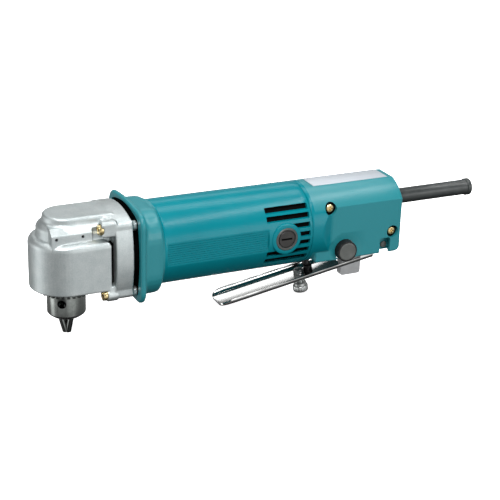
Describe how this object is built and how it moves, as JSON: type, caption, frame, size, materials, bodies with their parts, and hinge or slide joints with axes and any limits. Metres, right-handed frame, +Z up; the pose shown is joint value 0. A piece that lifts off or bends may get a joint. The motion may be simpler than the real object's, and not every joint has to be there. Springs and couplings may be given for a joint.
{
  "type": "right angle drill",
  "caption": "Mains right angle drill with a keyed chuck under a cast angle head, an inline motor barrel and a long switch lever under the body.",
  "frame": {"origin": "The spindle axis at the tips of the closed jaws.", "axes": "+Z up along the spindle, away from the work; +X to the rear along the motor; -Y is the side with the lock button."},
  "size_m": [0.3555, 0.0676, 0.0932],
  "materials": {
    "cast_aluminium": "die cast, fine grain",
    "teal_plastic": "moulded, satin",
    "yellow_zinc": "yellow passivated zinc",
    "chuck_steel": "turned steel",
    "machine_steel": "ground steel",
    "laminated_steel": "stacked sheet",
    "copper": "enamelled wire",
    "carbon": "pressed carbon",
    "black_plastic": "moulded",
    "black_rubber": "moulded, satin",
    "silver_plate": "anodised sheet",
    "chromed_steel": "plated sheet",
    "pale_zinc": "clear zinc",
    "grey_plastic": "moulded, satin"
  },
  "bodies": {
    "housing": {"gear_housing": "cast_aluminium", "rib_pins": "machine_steel", "head_screws": "yellow_zinc", "bearing_plate": "cast_aluminium", "outer_rings": "machine_steel", "spindle_seal": "black_rubber", "motor_housing": "teal_plastic", "stator_core": "laminated_steel", "stator_coils": "copper", "brush_holders": "yellow_zinc", "carbon_brushes": "carbon", "brush_springs": "machine_steel", "brush_caps": "black_plastic", "rear_half_left": "teal_plastic", "rear_half_right": "teal_plastic", "rear_screws": "yellow_zinc", "rating_plate": "silver_plate", "switch_body": "black_plastic", "cord_guard": "black_rubber", "cord_clamp": "black_plastic", "clamp_screws": "yellow_zinc", "lever_pin": "machine_steel", "lever_spring": "machine_steel", "lock_spring": "machine_steel"},
    "armature": {"armature_shaft": "machine_steel", "armature_core": "laminated_steel", "armature_winding": "copper", "commutator": "copper", "cooling_fan": "black_plastic", "armature_rings": "machine_steel"},
    "countershaft": {"pinion_shaft": "machine_steel", "reduction_gear": "machine_steel", "pinion_rings": "machine_steel"},
    "spindle_chuck": {"spindle": "machine_steel", "bevel_gear": "machine_steel", "spindle_rings": "machine_steel", "chuck_body": "chuck_steel"},
    "sleeve": {"chuck_sleeve": "chuck_steel", "chuck_nut": "chuck_steel"},
    "jaw_a": {"jaw_1": "chuck_steel"},
    "jaw_b": {"jaw_2": "chuck_steel"},
    "jaw_c": {"jaw_3": "chuck_steel"},
    "lever": {"switch_lever": "chromed_steel", "lever_pad": "black_plastic", "speed_nut": "machine_steel"},
    "speed_knob": {"speed_screw": "pale_zinc"},
    "plunger": {"switch_plunger": "black_plastic"},
    "lock": {"lock_button": "black_plastic"},
    "reverser": {"reversing_lever": "grey_plastic"}
  },
  "joints": [
    {"name": "armature_spin", "type": "hinge", "parent": "housing", "child": "armature", "pos_m": [0.105, 0, 0.059], "axis": [1, 0, 0], "continuous": true},
    {"name": "countershaft_spin", "type": "hinge", "parent": "housing", "child": "countershaft", "pos_m": [0.03, 0, 0.0754], "axis": [1, 0, 0], "continuous": true},
    {"name": "spindle_spin", "type": "hinge", "parent": "housing", "child": "spindle_chuck", "pos_m": [0, 0, 0.05], "axis": [0, 0, 1], "continuous": true},
    {"name": "sleeve_turn", "type": "hinge", "parent": "spindle_chuck", "child": "sleeve", "pos_m": [0, 0, 0.04], "axis": [0, 0, 1], "range_deg": [0, 4070]},
    {"name": "jaw_1_slide", "type": "slide", "parent": "spindle_chuck", "child": "jaw_a", "axis": [0.1214, -0.219, 0.9681], "range_m": [0, 0.017]},
    {"name": "jaw_2_slide", "type": "slide", "parent": "spindle_chuck", "child": "jaw_b", "axis": [0.129, 0.2146, 0.9681], "range_m": [0, 0.017]},
    {"name": "jaw_3_slide", "type": "slide", "parent": "spindle_chuck", "child": "jaw_c", "axis": [-0.2503, 0.0044, 0.9681], "range_m": [0, 0.017]},
    {"name": "lever_press", "type": "hinge", "parent": "housing", "child": "lever", "pos_m": [0.243, 0, 0.039], "axis": [0, 1, 0], "range_deg": [0, 7], "stiffness_Nm_per_rad": 2, "springref_deg": -3.44},
    {"name": "plunger_slide", "type": "slide", "parent": "housing", "child": "plunger", "axis": [0, 0, 1], "range_m": [0, 0.0068]},
    {"name": "speed_screw_turn", "type": "hinge", "parent": "lever", "child": "speed_knob", "pos_m": [0.18427, 0, 0.00867], "axis": [-0.1685, 0, 0.9857], "range_deg": [-360, 720]},
    {"name": "lock_press", "type": "slide", "parent": "housing", "child": "lock", "axis": [0, 1, 0], "range_m": [0, 0.003], "stiffness_N_per_m": 400, "springref_m": -0.004},
    {"name": "reverse_swing", "type": "hinge", "parent": "housing", "child": "reverser", "pos_m": [0.226, 0, 0.0435], "axis": [1, 0, 0], "range_deg": [-8, 8]}
  ],
  "couplings": [
    {"joint": "countershaft_spin", "follows": "armature_spin", "ratio": -0.28125},
    {"joint": "spindle_spin", "follows": "armature_spin", "ratio": -0.10312},
    {"joint": "jaw_1_slide", "follows": "sleeve_turn", "m_per_rad": 0.00023873},
    {"joint": "jaw_2_slide", "follows": "sleeve_turn", "m_per_rad": 0.00023873},
    {"joint": "jaw_3_slide", "follows": "sleeve_turn", "m_per_rad": 0.00023873},
    {"joint": "plunger_slide", "follows": "lever_press", "m_per_rad": 0.0545}
  ]
}
